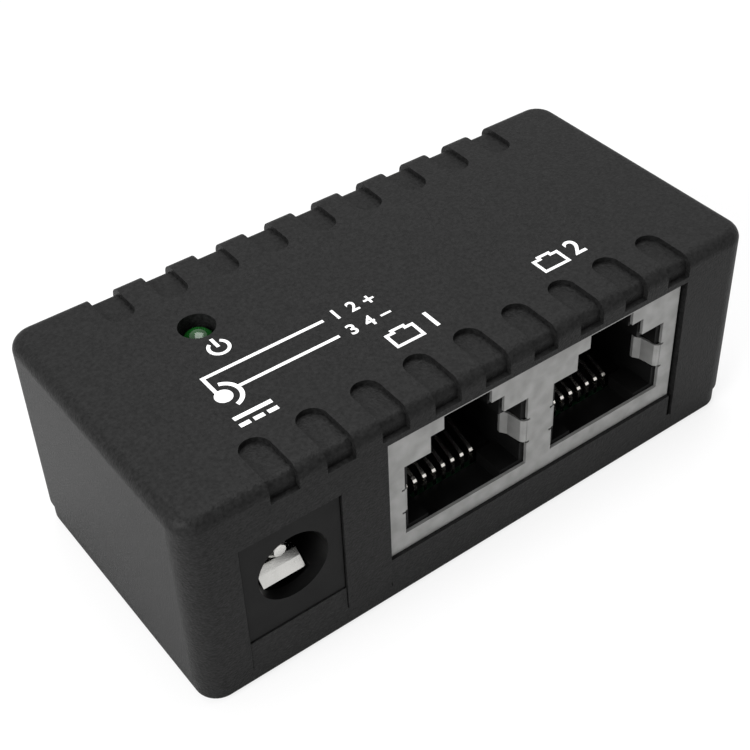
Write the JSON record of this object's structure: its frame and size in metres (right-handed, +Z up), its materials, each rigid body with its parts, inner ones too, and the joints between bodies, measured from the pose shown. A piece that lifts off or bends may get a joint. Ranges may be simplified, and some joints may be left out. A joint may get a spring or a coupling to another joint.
{
  "type": "power over ethernet injector",
  "caption": "Low black box that puts power onto a network cable, with a barrel power socket and shielded network ports along one long side and a status lamp on top.",
  "frame": {"origin": "centre of the case's footprint, on the underside", "axes": "+X along the case from the barrel socket towards the network ports, +Z up, the sockets face -Y"},
  "size_m": [0.058, 0.028, 0.0205],
  "materials": {
    "case_black": "fine-grained black moulded plastic",
    "jack_black": "smooth dark moulded plastic",
    "board_green": "green lacquered circuit board",
    "shield_tin": "tin-plated sheet steel, matt",
    "contact_metal": "plated spring wire, bright",
    "pin_metal": "nickel-plated turned pin",
    "spring_metal": "plated spring strip, bright",
    "lamp_green": "diffused green lamp lens",
    "lead_tin": "tinned lead wire",
    "resistor_blue": "lacquered resistor body"
  },
  "bodies": {
    "injector": {"top_cover": "case_black", "bottom_cover": "case_black", "circuit_board": "board_green", "jack_shield": "shield_tin", "jack_housing": "jack_black", "contact_insert_1": "jack_black", "contact_insert_2": "jack_black", "contact_tails_1": "contact_metal", "contact_tails_2": "contact_metal", "dc_housing": "jack_black", "dc_centre_pin": "pin_metal", "dc_spring_terminal": "spring_metal", "dc_switch_terminal": "spring_metal", "led_lens": "lamp_green", "led_leads": "lead_tin", "led_resistor": "resistor_blue"},
    "port_1_contacts": {"contacts_1": "contact_metal"},
    "port_2_contacts": {"contacts_2": "contact_metal"},
    "dc_spring_leaf": {"dc_spring": "spring_metal"}
  },
  "joints": [
    {"name": "port_1_contacts_flex", "type": "hinge", "parent": "injector", "child": "port_1_contacts", "pos_m": [-0.00275, -0.00965, 0.0068], "axis": [-1, 0, 0], "range_deg": [0, 12], "stiffness_Nm_per_rad": 0.02},
    {"name": "port_2_contacts_flex", "type": "hinge", "parent": "injector", "child": "port_2_contacts", "pos_m": [0.01295, -0.00965, 0.0068], "axis": [-1, 0, 0], "range_deg": [0, 12], "stiffness_Nm_per_rad": 0.02},
    {"name": "dc_spring_flex", "type": "hinge", "parent": "injector", "child": "dc_spring_leaf", "pos_m": [-0.02005, -0.0049, 0.00735], "axis": [1, 0, 0], "range_deg": [0, 10], "stiffness_Nm_per_rad": 0.02}
  ]
}
